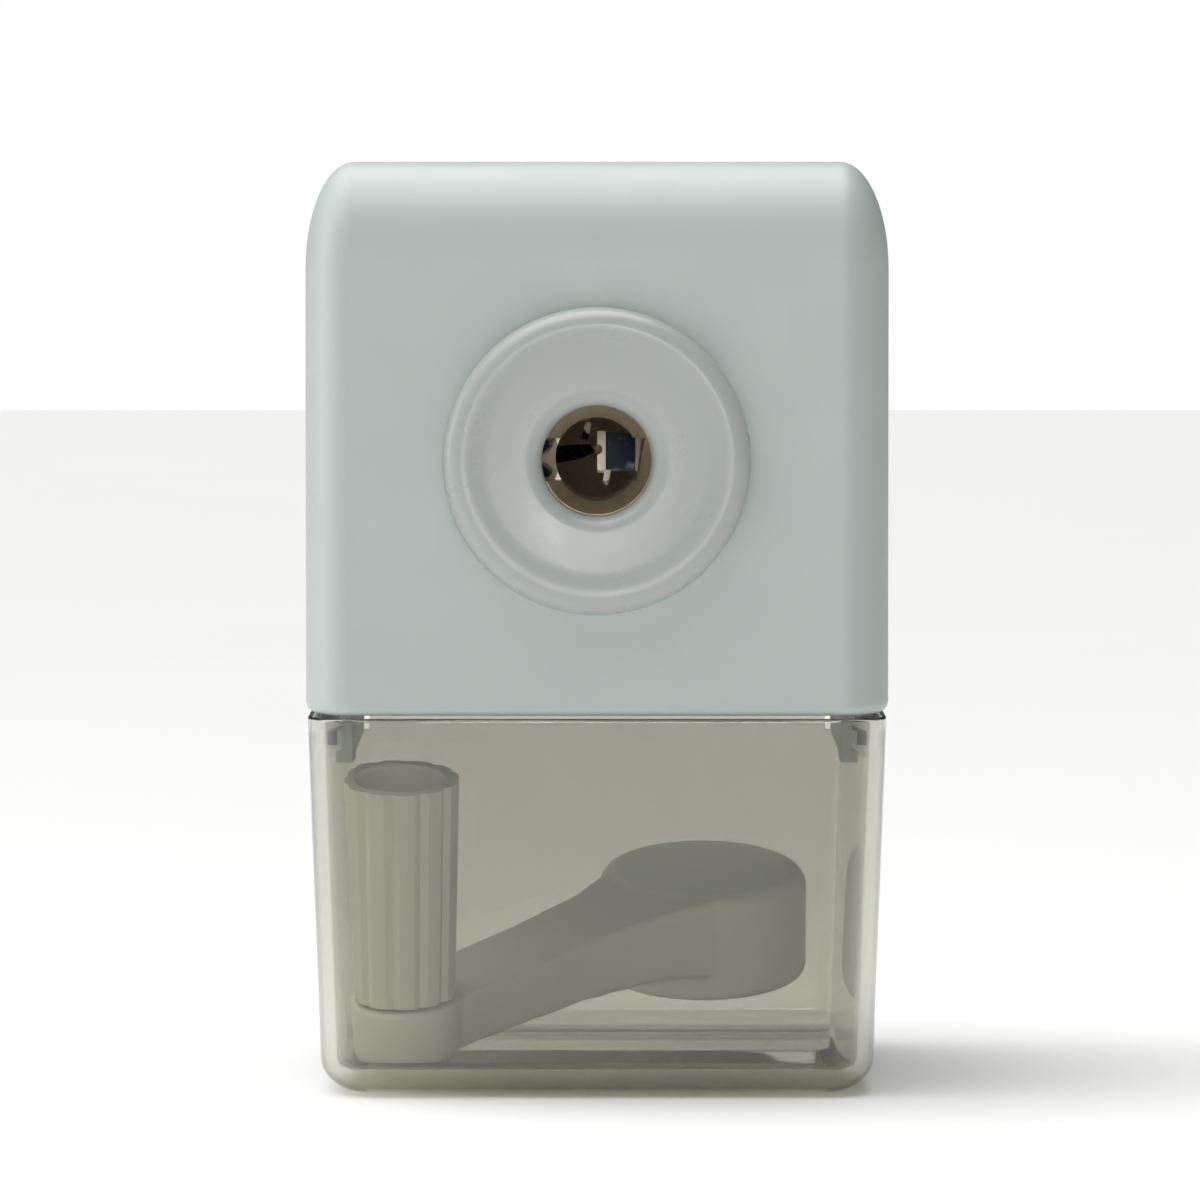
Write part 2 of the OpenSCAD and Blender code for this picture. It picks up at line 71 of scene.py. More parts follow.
def linear(code: str) -> tuple[float, float, float, float]:
    """Turns an sRGB hex colour into the linear colour that a shader takes.

    Args:
        code: Six hex digits, such as "c8d2d0".

    Returns:
        Red, green, blue and an alpha of one.
    """
    channels = [int(code[i:i + 2], 16) / 255 for i in (0, 2, 4)]
    lit = [c / 12.92 if c <= 0.04045 else ((c + 0.055) / 1.055) ** 2.4 for c in channels]
    return lit[0], lit[1], lit[2], 1.0


def per_mm(size: float) -> float:
    """Scale of a noise on Object coordinates whose features are this many millimetres across."""
    return 1 / (size * MM)


def add_node(
    tree: bpy.types.NodeTree, kind: str, links: dict[str | int, object] | None = None, **settings: object
) -> bpy.types.Node:
    """Adds one shader node.

    Args:
        tree: The material's node tree.
        kind: The node's type name.
        links: Input name or number to an output socket, or to a plain value.
        settings: Properties of the node itself.

    Returns:
        The new node.
    """
    node = tree.nodes.new(kind)
    for key, value in settings.items():
        setattr(node, key, value)
    for key, source in (links or {}).items():
        socket = node.inputs[key]
        if isinstance(source, bpy.types.NodeSocket):
            tree.links.new(source, socket)
        else:
            socket.default_value = source
    return node


# ---- finishes ----


@dataclass(frozen=True)
class Finish:
    """What a surface is made of and how it was made."""

    name: str
    colour: str
    roughness: float

    def material(self) -> bpy.types.Material:
        """Returns the material, which is made the first time that it is asked for."""
        made = bpy.data.materials.get(self.name)
        if made is None:
            made = bpy.data.materials.new(self.name)
            made.use_nodes = True
            made.node_tree.nodes.clear()
            shader = self.shade(made.node_tree)
            add_node(made.node_tree, "ShaderNodeOutputMaterial", {"Surface": shader})
        return made

    def shade(self, tree: bpy.types.NodeTree) -> bpy.types.NodeSocket:
        """Builds the nodes.

        Args:
            tree: The empty tree of the material.

        Returns:
            The output socket of the last shader.
        """
        raise NotImplementedError

    def dress(self, obj: bpy.types.Object) -> None:
        """Gives a piece this finish all over."""
        obj.data.materials.clear()
        obj.data.materials.append(self.material())


@dataclass(frozen=True)
class MouldedPlastic(Finish):
    """Opaque plastic out of a steel mould.

    The mould's fine texture breaks up the reflections, the melt's flow leaves slow changes of tone, and
    handling polishes some places a little.
    """

    grain: float = 0.35
    grain_depth: float = 0.004
    flow: float = 14.0
    tone: float = 0.03
    ior: float = 1.53
    glow: float = 0.0

    def shade(self, tree: bpy.types.NodeTree) -> bpy.types.NodeSocket:
        """Builds the nodes.

        Args:
            tree: The empty tree of the material.

        Returns:
            The output socket of the last shader.
        """
        place = add_node(tree, "ShaderNodeTexCoord").outputs["Object"]
        flow = add_node(tree, "ShaderNodeTexNoise",
                        {"Vector": place, "Scale": per_mm(self.flow), "Detail": 3.0, "Roughness": 0.45})
        base = linear(self.colour)
        low = tuple(c * (1 - self.tone) for c in base[:3]) + (1.0,)
        high = tuple(min(1.0, c * (1 + self.tone)) for c in base[:3]) + (1.0,)
        tones = add_node(tree, "ShaderNodeMix",
                         {"Factor": flow.outputs["Fac"], MIX_LOW: low, MIX_HIGH: high}, data_type="RGBA")
        rub = add_node(tree, "ShaderNodeTexNoise",
                       {"Vector": place, "Scale": per_mm(self.flow * 0.4), "Detail": 4.0})
        worn = add_node(tree, "ShaderNodeMapRange",
                        {"Value": rub.outputs["Fac"], "From Min": 0.3, "From Max": 0.7,
                         "To Min": self.roughness - 0.04, "To Max": self.roughness + 0.05})
        spark = add_node(tree, "ShaderNodeTexNoise",
                         {"Vector": place, "Scale": per_mm(self.grain), "Detail": 2.0, "Roughness": 0.6})
        bump = add_node(tree, "ShaderNodeBump",
                        {"Height": spark.outputs["Fac"], "Strength": 0.35,
                         "Distance": self.grain_depth * MM})
        shader = add_node(tree, "ShaderNodeBsdfPrincipled",
                          {"Base Color": tones.outputs[MIX_COLOUR], "Roughness": worn.outputs["Result"],
                           "IOR": self.ior, "Normal": bump.outputs["Normal"],
                           "Subsurface Weight": self.glow, "Subsurface Scale": 0.6 * MM,
                           "Subsurface Radius": (1.0, 1.0, 1.0)})
        return shader.outputs["BSDF"]


class MetalWork(Enum):
    """How a metal's surface was made."""

    TURNED = "turned"
    PLATED = "plated"
    BLACKENED = "blackened"
    SINTERED = "sintered"


@dataclass(frozen=True)
class Metal(Finish):
    """Bare or plated metal with the marks of its making.

    Turned work has fine rings that stretch each glint, plating has a soft cloudy sheen, oil-blackened steel
    is dark with brighter rubbed places, and sintered bronze is full of small pores.
    """

    work: MetalWork = MetalWork.PLATED
    mark: float = 0.25
    rubbed: str = "c9ccd0"

    def shade(self, tree: bpy.types.NodeTree) -> bpy.types.NodeSocket:
        """Builds the nodes.

        Args:
            tree: The empty tree of the material.

        Returns:
            The output socket of the last shader.
        """
        place = add_node(tree, "ShaderNodeTexCoord").outputs["Object"]
        stretch = {MetalWork.TURNED: (1.0, 12.0, 1.0)}.get(self.work, (1.0, 1.0, 1.0))
        turned = add_node(tree, "ShaderNodeMapping", {"Vector": place, "Scale": stretch})
        marks = add_node(tree, "ShaderNodeTexNoise",
                         {"Vector": turned.outputs["Vector"], "Scale": per_mm(self.mark), "Detail": 3.0})
        cloud = add_node(tree, "ShaderNodeTexNoise",
                         {"Vector": place, "Scale": per_mm(self.mark * 9), "Detail": 4.0, "Roughness": 0.6})
        share = add_node(tree, "ShaderNodeMapRange",
                         {"Value": cloud.outputs["Fac"], "From Min": 0.52, "From Max": 0.78,
                          "To Min": 0.0, "To Max": 0.35 if self.work is MetalWork.BLACKENED else 0.12})
        tones = add_node(tree, "ShaderNodeMix",
                         {"Factor": share.outputs["Result"], MIX_LOW: linear(self.colour),
                          MIX_HIGH: linear(self.rubbed)}, data_type="RGBA")
        polish = add_node(tree, "ShaderNodeMapRange",
                          {"Value": marks.outputs["Fac"], "From Min": 0.25, "From Max": 0.75,
                           "To Min": self.roughness - 0.08, "To Max": self.roughness + 0.1})
        depth = 0.02 if self.work is MetalWork.SINTERED else 0.004
        bump = add_node(tree, "ShaderNodeBump",
                        {"Height": marks.outputs["Fac"], "Strength": 0.4, "Distance": depth * MM})
        shader = add_node(tree, "ShaderNodeBsdfPrincipled",
                          {"Base Color": tones.outputs[MIX_COLOUR], "Metallic": 1.0,
                           "Roughness": polish.outputs["Result"], "Normal": bump.outputs["Normal"]})
        return shader.outputs["BSDF"]


@dataclass(frozen=True)
class LacqueredCasting(Finish):
    """Zinc die casting under a thin tan lacquer.

    The lacquer is semi-gloss and pools a little darker, and the cast skin under it is softly uneven.
    """

    skin: float = 1.2
    pooled: str = "7d7059"

    def shade(self, tree: bpy.types.NodeTree) -> bpy.types.NodeSocket:
        """Builds the nodes.

        Args:
            tree: The empty tree of the material.

        Returns:
            The output socket of the last shader.
        """
        place = add_node(tree, "ShaderNodeTexCoord").outputs["Object"]
        skin = add_node(tree, "ShaderNodeTexNoise",
                        {"Vector": place, "Scale": per_mm(self.skin), "Detail": 5.0, "Roughness": 0.55})
        share = add_node(tree, "ShaderNodeMapRange",
                         {"Value": skin.outputs["Fac"], "From Min": 0.35, "From Max": 0.75,
                          "To Min": 0.0, "To Max": 0.6})
        tones = add_node(tree, "ShaderNodeMix",
                         {"Factor": share.outputs["Result"], MIX_LOW: linear(self.colour),
                          MIX_HIGH: linear(self.pooled)}, data_type="RGBA")
        bump = add_node(tree, "ShaderNodeBump",
                        {"Height": skin.outputs["Fac"], "Strength": 0.5, "Distance": 0.02 * MM})
        shader = add_node(tree, "ShaderNodeBsdfPrincipled",
                          {"Base Color": tones.outputs[MIX_COLOUR], "Roughness": self.roughness, "IOR": 1.5,
                           "Metallic": 0.45, "Coat Weight": 0.4, "Coat Roughness": 0.2,
                           "Normal": bump.outputs["Normal"]})
        return shader.outputs["BSDF"]


@dataclass(frozen=True)
class SmokeStyrene(Finish):
    """Clear polystyrene with a smoke dye, out of a polished mould.

    It is see-through with sharp edges of reflection, the flow of the melt shows as faint streaks, and lamps
    shine through it so that what it holds is lit.
    """

    streak: float = 9.0
    passed: str = "e6e6df"
    ior: float = 1.59

    def shade(self, tree: bpy.types.NodeTree) -> bpy.types.NodeSocket:
        """Builds the nodes.

        Args:
            tree: The empty tree of the material.

        Returns:
            The output socket of the last shader.
        """
        place = add_node(tree, "ShaderNodeTexCoord").outputs["Object"]
        streaks = add_node(tree, "ShaderNodeTexNoise",
                           {"Vector": place, "Scale": per_mm(self.streak), "Detail": 2.0})
        base = linear(self.colour)
        dyed = tuple(c * 0.97 for c in base[:3]) + (1.0,)
        tones = add_node(tree, "ShaderNodeMix",
                         {"Factor": streaks.outputs["Fac"], MIX_LOW: dyed, MIX_HIGH: base}, data_type="RGBA")
        bump = add_node(tree, "ShaderNodeBump",
                        {"Height": streaks.outputs["Fac"], "Strength": 0.08, "Distance": 0.05 * MM})
        clear = add_node(tree, "ShaderNodeBsdfPrincipled",
                         {"Base Color": tones.outputs[MIX_COLOUR], "Roughness": self.roughness,
                          "IOR": self.ior,
                          "Transmission Weight": 1.0, "Normal": bump.outputs["Normal"]})
        lamp = add_node(tree, "ShaderNodeBsdfTransparent", {"Color": linear(self.passed)})
        ray = add_node(tree, "ShaderNodeLightPath")
        mix = add_node(tree, "ShaderNodeMixShader",
                       {0: ray.outputs["Is Shadow Ray"], 1: clear.outputs["BSDF"], 2: lamp.outputs["BSDF"]})
        return mix.outputs["Shader"]


# Satin ABS: an even, cool off-white with broad soft highlights
CASING_WHITE = MouldedPlastic("abs_satin_moulded_white", "b0b9b6", 0.42)
# Polished ABS: the same white with clear glints on its rounded rim
RING_WHITE = MouldedPlastic("abs_polished_moulded_white", "a8ada9", 0.3, grain_depth=0.001)
# Ivory ABS: warmer and duller, as on the crank
CRANK_IVORY = MouldedPlastic("abs_satin_moulded_ivory", "e6e6df", 0.46)
# Acetal: waxy grey, with light going a little way in
FRAME_GREY = MouldedPlastic("acetal_moulded_grey", "aab0b0", 0.38, glow=0.1)
# Clear styrene: a faint warm smoke that darkens where its walls are seen edge on
BIN_SMOKE = SmokeStyrene("styrene_polished_smoke", "c6c5bb", 0.02)
# Lacquered zinc: tan with a half metallic gloss, which lights the throat behind the ring. Both tans are
# mixed paler than the lacquer's own colour, as painted light, so that the shadowed throat reads as lit
CARRIER_TAN_PAINTED_LIGHT = LacqueredCasting("zinc_die_cast_tan_lacquer", "cdbfa2", 0.36, pooled="b3a281")
# Turned steel: bright, with glints drawn out round the turning
STEEL_BRIGHT = Metal("steel_turned_bright", "b4b7bb", 0.3, work=MetalWork.TURNED)
# Zinc plating: a cooler, cloudier bright grey
STEEL_PLATED = Metal("steel_zinc_plated", "aeb2b8", 0.34)
# Blackened steel: blue-black, with paler rubbed places
STEEL_DARK = Metal("steel_hardened_blackened", "23272e", 0.36, work=MetalWork.BLACKENED)
# Sintered bronze: warm and dull, with fine pores
BRONZE = Metal("bronze_sintered", "a5814c", 0.45, work=MetalWork.SINTERED, rubbed="c9a66a")


# ---- modelling by hand ----


def take(obj: bpy.types.Object) -> None:
    """Makes one object the only one selected, and active."""
    bpy.ops.object.select_all(action="DESELECT")
    obj.select_set(True)
    bpy.context.view_layer.objects.active = obj


@contextmanager
def editing(obj: bpy.types.Object) -> Iterator[None]:
    """Holds an object in edit mode with nothing selected at first.

    Args:
        obj: The object.
    """
    take(obj)
    bpy.ops.object.mode_set(mode="EDIT")
    bpy.ops.mesh.select_mode(type="VERT")
    bpy.ops.mesh.select_all(action="DESELECT")
    yield
    bpy.ops.object.mode_set(mode="OBJECT")


def pick(obj: bpy.types.Object, kind: str, test: Callable[[Vector], bool]) -> int:
    """Selects, in edit mode, what lies where a test says.

    Args:
        obj: The object in edit mode.
        kind: VERT, EDGE or FACE.
        test: Takes a vertex's place or the middle of an edge or face, in metres.

    Returns:
        How many were selected.
    """
    bpy.ops.mesh.select_mode(type=kind)
    bpy.ops.mesh.select_all(action="DESELECT")
    mesh = bmesh.from_edit_mesh(obj.data)
    found = 0
    items = {"VERT": mesh.verts, "EDGE": mesh.edges, "FACE": mesh.faces}[kind]
    for item in items:
        if kind == "VERT":
            middle = item.co
        else:
            middle = sum((v.co for v in item.verts), Vector()) / len(item.verts)
        if test(middle):
            item.select_set(True)
            found += 1
    mesh.select_flush_mode()
    bmesh.update_edit_mesh(obj.data)
    return found


def name_new(name: str) -> bpy.types.Object:
    """Names the primitive that was just added, and settles its place and scale into its mesh.

    Args:
        name: The name of the object and of its mesh.

    Returns:
        The object.
    """
    obj = bpy.context.active_object
    obj.name = obj.data.name = name
    bpy.ops.object.transform_apply(location=True, rotation=True, scale=True)
    return obj


def add_rod(
    name: str, radius: float, low: float, high: float, at: Vector, axis: str = "Z", sides: int = 48
) -> bpy.types.Object:
    """Adds a closed cylinder between two stations along an axis.

    Args:
        name: The piece's name.
        radius: In metres.
        low: Where it starts along the axis, in metres.
        high: Where it ends.
        at: A point of its centre line.
        axis: Y or Z.
        sides: Number of flat sides.

    Returns:
        The new object.
    """
    middle = at.copy()
    middle["XYZ".index(axis)] = (low + high) / 2
    turn = (math.pi / 2, 0, 0) if axis == "Y" else (0, 0, 0)
    bpy.ops.object.select_all(action="DESELECT")
    bpy.ops.mesh.primitive_cylinder_add(vertices=sides, radius=radius, depth=high - low,
                                        location=middle, rotation=turn)
    return name_new(name)


def add_block(name: str, low: Vector, high: Vector) -> bpy.types.Object:
    """Adds a box between two corners.

    Args:
        name: The piece's name.
        low: Its lowest corner, in metres.
        high: Its highest corner.

    Returns:
        The new object.
    """
    bpy.ops.object.select_all(action="DESELECT")
    bpy.ops.mesh.primitive_cube_add(size=1, location=(low + high) / 2, scale=high - low)
    return name_new(name)


def add_soft_box(
    name: str, low: Vector, high: Vector, fillet: Vector, steps: int = 10
) -> bpy.types.Object:
    """Adds a box whose edges are quarter ellipses.

    The box is rounded evenly in a space in which every fillet has a radius of one, then stretched.

    Args:
        name: The piece's name.
        low: Its lowest corner, in metres.
        high: Its highest corner.
        fillet: How far the rounding reaches along X, Y and Z.
        steps: Segments of a quarter.

    Returns:
        The new object.
    """
    size = high - low
    squeezed = Vector(size[i] / fillet[i] for i in range(3))
    bpy.ops.object.select_all(action="DESELECT")
    bpy.ops.mesh.primitive_cube_add(size=1, location=(0, 0, 0), scale=squeezed)
    obj = name_new(name)
    with editing(obj):
        bpy.ops.mesh.select_all(action="SELECT")
        bpy.ops.mesh.bevel(offset=1.0, segments=steps, profile=0.5, affect="EDGES", clamp_overlap=False)
        bpy.ops.mesh.select_all(action="SELECT")
        bpy.ops.transform.resize(value=fillet)
        bpy.ops.transform.translate(value=(low + high) / 2)
        bpy.ops.mesh.remove_doubles(threshold=0.00001)
        bpy.ops.mesh.normals_make_consistent(inside=False)
    return obj


def cut_off(obj: bpy.types.Object, point: Vector, normal: Vector) -> None:
    """Cuts an object open with a plane and throws away one side.

    Args:
        obj: The object.
        point: A point of the plane.
        normal: Points to the side that goes.
    """
    with editing(obj):
        bpy.ops.mesh.select_all(action="SELECT")
        bpy.ops.mesh.bisect(plane_co=point, plane_no=normal, use_fill=False, clear_outer=True,
                            clear_inner=False)


def apply_modifier(obj: bpy.types.Object, kind: str, **settings: object) -> None:
    """Adds a modifier and applies it.

    Args:
        obj: The object.
        kind: The modifier's type name.
        settings: Its properties.
    """
    take(obj)
    modifier = obj.modifiers.new(kind.lower(), kind)
    for key, value in settings.items():
        setattr(modifier, key, value)
    bpy.ops.object.modifier_apply(modifier=modifier.name)


def combine(obj: bpy.types.Object, tools: Sequence[bpy.types.Object], operation: str) -> None:
    """Joins other shapes to a piece, or cuts them out of it, and removes them.

    Args:
        obj: The piece.
        tools: The other shapes.
        operation: UNION or DIFFERENCE.
    """
    for tool in tools:
        apply_modifier(obj, "BOOLEAN", operation=operation, object=tool, solver="EXACT")
        bpy.data.objects.remove(tool)


def join(obj: bpy.types.Object, others: Sequence[bpy.types.Object]) -> None:
    """Puts other objects' meshes into one object as they are.

    Args:
        obj: The object that stays.
        others: The objects that go into it.
    """
    take(obj)
    for other in others:
        other.select_set(True)
    bpy.ops.object.join()


def smooth(obj: bpy.types.Object, degrees: float = 32, flat_faces: bool = True) -> None:
    """Shades an object smooth, with sharp edges where its faces turn by more than an angle.

    Args:
        obj: The object.
        degrees: The angle.
        flat_faces: Whether large faces keep their own direction, so that the rounding beside them doesn't
            bend reflections and refractions on them.
    """
    take(obj)
    bpy.ops.object.shade_smooth_by_angle(angle=math.radians(degrees))
    if flat_faces:
        apply_modifier(obj, "WEIGHTED_NORMAL", keep_sharp=True, weight=100)


def arc(
    centre: tuple[float, float], radius: float, start: float, end: float, steps: int = 8
) -> list[tuple[float, float]]:
    """Points of an arc.

    Args:
        centre: Its centre.
        radius: Its radius.
        start: First angle in degrees.
        end: Last angle.
        steps: Number of stretches between the points.

    Returns:
        The points, both ends included.
    """
    angles = [math.radians(start + (end - start) * i / steps) for i in range(steps + 1)]
    return [(centre[0] + radius * math.cos(a), centre[1] + radius * math.sin(a)) for a in angles]


def turn_profile(
    name: str, points: Sequence[tuple[float, float]], centre: Vector, axis: Vector, out: Vector,
    steps: int = 96
) -> bpy.types.Object:
    """Spins a closed outline round an axis, point by point extruded from one vertex.

    Args:
        name: The piece's name.
        points: Radius and station along the axis, in millimetres, round the outline.
        centre: A point of the axis at station zero, in metres.
        axis: The axis.
        out: The direction in which the outline is drawn.
        steps: Copies of the outline in a full turn.

    Returns:
        The new object.
    """
    bpy.ops.object.select_all(action="DESELECT")
    bpy.ops.mesh.primitive_plane_add(size=0.001, location=(0, 0, 0))
    obj = name_new(name)
    places = [centre + out * (r * MM) + axis * (s * MM) for r, s in points]
    with editing(obj):
        bpy.ops.mesh.select_all(action="SELECT")
        bpy.ops.mesh.merge(type="CENTER")
        bpy.ops.transform.translate(value=places[0])
        for before, after in zip(places, places[1:] + places[:1]):
            bpy.ops.mesh.extrude_vertices_move(TRANSFORM_OT_translate={"value": after - before})
        bpy.ops.mesh.select_all(action="SELECT")
        bpy.ops.mesh.remove_doubles(threshold=0.000001)
        bpy.ops.mesh.select_all(action="SELECT")
        bpy.ops.mesh.spin(steps=steps, angle=2 * math.pi, center=centre, axis=axis, dupli=False)
        bpy.ops.mesh.select_all(action="SELECT")
        bpy.ops.mesh.remove_doubles(threshold=0.000001)
        bpy.ops.mesh.select_all(action="SELECT")
        bpy.ops.mesh.normals_make_consistent(inside=False)
    return obj


def place_in_mesh(obj: bpy.types.Object, matrix: Matrix) -> None:
    """Moves a piece and settles the move into its mesh.

    Args:
        obj: The piece.
        matrix: The move.
    """
    obj.matrix_world = matrix @ obj.matrix_world
    bpy.context.view_layer.update()
    take(obj)
    bpy.ops.object.transform_apply(location=True, rotation=True, scale=True)


def finish_piece(
    obj: bpy.types.Object, finish: Finish, body: str, nodes: Sequence[str]
) -> None:
    """Dresses a finished piece and ties it to the frame.

    Args:
        obj: The piece.
        finish: Its finish.
        body: The body that it rides on.
        nodes: The nodes that it stands for.
    """
    finish.dress(obj)
    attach(obj, body)
    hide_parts(*nodes)
    LOG.info("%s: %d faces, rides on %s", obj.name, len(obj.data.polygons), body)


# ---- the sharpener ----


def screw_axes(node: str, head_r: float) -> list[Vector]:
    """Finds the axes of four like screws along Y from the box that holds them.

    Args:
        node: The screws' node.
        head_r: Radius of a head, by which an axis lies inside the box.

    Returns:
        A point of each axis.
    """
    low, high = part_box(node)
    inset = head_r * MM
    return [Vector((x, 0, z)) for x in (low.x + inset, high.x - inset)
            for z in (low.z + inset, high.z - inset)]


@dataclass
class Housing:
    """The white casing, its rear cover and the ring round the pencil's hole.

    The places, which are read from the frame, are in metres.
    """

    wall: float = 2.0
    fillet: tuple[float, float, float] = (5.0, 8.5, 11.0)
    rim_round: float = 1.2
    gap: float = 0.1
    past: float = 5.0
    root: float = 0.5
    sleeve_hole: float = 8.6
    spindle_hole: float = 4.2
    head_r: float = 2.4
    screw_hole: float = 1.4
    post_r: float = 3.2
    post_over: float = 4.2
    boss_r: float = 3.3
    boss_start: float = 10.0
    boss_skin: float = 0.9
    web_half: float = 0.8
    web_inset: float = 1.0
    well_r: float = 2.6
    well_foot: float = 1.05
    collar_r: float = 6.5
    collar_long: float = 5.0
    ring_rim: float = 1.9
    ring_lip: float = 1.8
    ring_hole: float = 5.65
    ring_chamfer: float = 0.4
    sleeve_play: float = 0.1
    dish: float = 0.7
    case_low: Vector = field(init=False)
    case_high: Vector = field(init=False)
    axis_at: Vector = field(init=False)
    ring_r: float = field(init=False)
    ring_front: float = field(init=False)
    ring_back: float = field(init=False)
    front: float = field(init=False)
    rear: float = field(init=False)
    parting: float = field(init=False)
    seam: float = field(init=False)

    def __post_init__(self) -> None:
        """Reads the places that the frame fixes."""
        self.case_low, self.case_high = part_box("main_casing")
        ring_low, ring_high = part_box("entry_ring")
        self.ring_r = (ring_high.x - ring_low.x) / 2
        self.ring_front = ring_low.y
        self.ring_back = ring_high.y
        self.axis_at = Vector((0, 0, (ring_low.z + ring_high.z) / 2))
        self.front = self.case_low.y
        self.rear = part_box("rear_cover")[1].y
        self.parting = self.case_high.y
        self.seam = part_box("floor_plate")[1].z - (self.wall - 0.05) * MM

    def build(self) -> None:
        """Builds and dresses the three pieces."""
        finish_piece(self.casing(), CASING_WHITE, "housing",
                     ["main_casing", "casing_bosses"])
        finish_piece(self.cover(), CASING_WHITE, "housing", ["rear_cover"])
        finish_piece(self.ring(), RING_WHITE, "housing", ["entry_ring"])

    def form(self, name: str) -> bpy.types.Object:
        """Builds the whole outside of the casing as an open shell that ends at the seam.

        Args:
            name: The piece's name.

        Returns:
            The shell, without thickness.
        """
        depth = 30 * MM
        low = Vector((self.case_low.x, self.front, self.seam - depth))
        high = Vector((self.case_high.x, self.rear, self.case_high.z))
        obj = add_soft_box(name, low, high, Vector(self.fillet) * MM, 14)
        cut_off(obj, Vector((0, 0, self.seam)), Vector((0, 0, -1)))
        return obj

    def round_rim(self, obj: bpy.types.Object) -> None:
        """Rounds the outer edge of a shell's lower rim.

        Args:
            obj: The shell, with its thickness.
        """
        half = (self.case_high.x - self.case_low.x) / 2
        reach = Vector(self.fillet) * MM
        middle = (self.front + self.rear) / 2
        deep = (self.rear - self.front) / 2
        level = 0.02 * MM
        outside = 0.93

        def on_outline(p: Vector) -> bool:
            """Tells whether a point of the rim lies on the outside."""
            across = max(0.0, abs(p.x) - half + reach.x) / reach.x
            along = max(0.0, abs(p.y - middle) - deep + reach.y) / reach.y
            return abs(p.z - self.seam) < level and across ** 2 + along ** 2 > outside

        with editing(obj):
            pick(obj, "EDGE", on_outline)
            bpy.ops.mesh.bevel(offset=self.rim_round * MM, segments=4, profile=0.5, affect="EDGES")

    def casing(self) -> bpy.types.Object:
        """Builds the casing: front, sides and top, up to the parting line.

        Returns:
            The new object.
        """
        obj = self.form("casing_shell")
        cut_off(obj, Vector((0, self.parting, 0)), Vector((0, 1, 0)))
        apply_modifier(obj, "SOLIDIFY", thickness=self.wall * MM, offset=-1, use_even_offset=True)
        self.round_rim(obj)
        hole = add_rod("hole", self.sleeve_hole * MM, self.front - self.past * MM,
                       self.front + self.past * MM, self.axis_at, "Y", 72)
        combine(obj, [hole], "DIFFERENCE")
        join(obj, self.posts())
        smooth(obj)
        return obj

    def posts(self) -> list[bpy.types.Object]:
        """Builds the posts inside the casing that the screws go into.

        Returns:
            The frame's posts, then each of the cover's bosses with the web that ties it to the side wall.
        """
        frame_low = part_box("gear_frame")[0].y
        made = [add_rod("post", self.post_r * MM, self.front + (self.wall - self.root) * MM,
                        frame_low + self.post_over * MM, at, "Y")
                for at in screw_axes("frame_screws", self.head_r)]
        start = self.boss_start * MM
        for at in screw_axes("rear_cover_screws", self.head_r):
            made.append(add_rod("boss", self.boss_r * MM, start, self.parting - self.root * MM, at, "Y"))
            edge = math.copysign(self.case_high.x - self.web_inset * MM, at.x)
            low = Vector((min(at.x, edge), start, at.z - self.web_half * MM))
            high = Vector((max(at.x, edge), self.parting - self.web_inset * MM, at.z + self.web_half * MM))
            made.append(add_block("web", low, high))
        return made

    def cover(self) -> bpy.types.Object:
        """Builds the rear cover: a shallow cup with four screw wells and the spindle's hole.

        Returns:
            The new object.
        """
        start = self.parting + self.gap * MM
        inside = self.parting - self.past * MM
        outside = self.rear + self.past * MM
        obj = self.form("rear_cover_shell")
        cut_off(obj, Vector((0, start, 0)), Vector((0, -1, 0)))
        apply_modifier(obj, "SOLIDIFY", thickness=self.wall * MM, offset=-1, use_even_offset=True)
        self.round_rim(obj)
        places = screw_axes("rear_cover_screws", self.head_r)
        added = [add_rod("boss", self.boss_r * MM, start, self.rear - self.boss_skin * MM, at, "Y")
                 for at in places]
        added.append(add_rod("collar", self.collar_r * MM, self.rear - self.collar_long * MM,
                             self.rear - 1 * MM, self.axis_at, "Y"))
        combine(obj, added, "UNION")
        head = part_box("rear_cover_screws")[1].y - self.well_foot * MM
        cuts = []
        for at in places:
            cuts.append(add_rod("well", self.well_r * MM, head, outside, at, "Y"))
            cuts.append(add_rod("screw_hole", self.screw_hole * MM, inside, outside, at, "Y", 32))
        cuts.append(add_rod("spindle_hole", self.spindle_hole * MM, inside, outside, self.axis_at, "Y", 64))
        combine(obj, cuts, "DIFFERENCE")
        smooth(obj)
        return obj

    def ring(self) -> bpy.types.Object:
        """Builds the pencil ring: a bright rounded rim, a shallow dish and a rounded lip into the hole.

        Returns:
            The new object.
        """
        outer = self.ring_r / MM
        face = self.ring_front / MM
        wall_y = self.front / MM
        back = self.ring_back / MM
        hole = self.ring_hole
        rim = self.ring_rim
        lip = self.ring_lip
        sleeve = self.sleeve_hole - self.sleeve_play
        valley = outer - 2 * rim - 0.5
        points = [(sleeve, back), (sleeve, wall_y), (outer - 0.4, wall_y)]
        points += arc((outer - rim, face + rim), rim, 0, -90, 10)
        points += [(outer - rim - 0.9, face + 0.1), (outer - rim - 1.6, face + 0.35),
                   (valley - 0.2, face + 0.52)]
        points += [(valley - 2.2, face + self.dish * 0.9), (hole + lip + 1.2, face + self.dish)]
        points += arc((hole + lip, face + self.dish + lip), lip, -90, -180, 10)
        points += [(hole, back - self.ring_chamfer), (hole + self.ring_chamfer, back)]
        obj = turn_profile("entry_ring_shell", points, self.axis_at, Vector((0, 1, 0)),
                           Vector((1, 0, 0)), 128)
        smooth(obj, 40, flat_faces=False)
        return obj


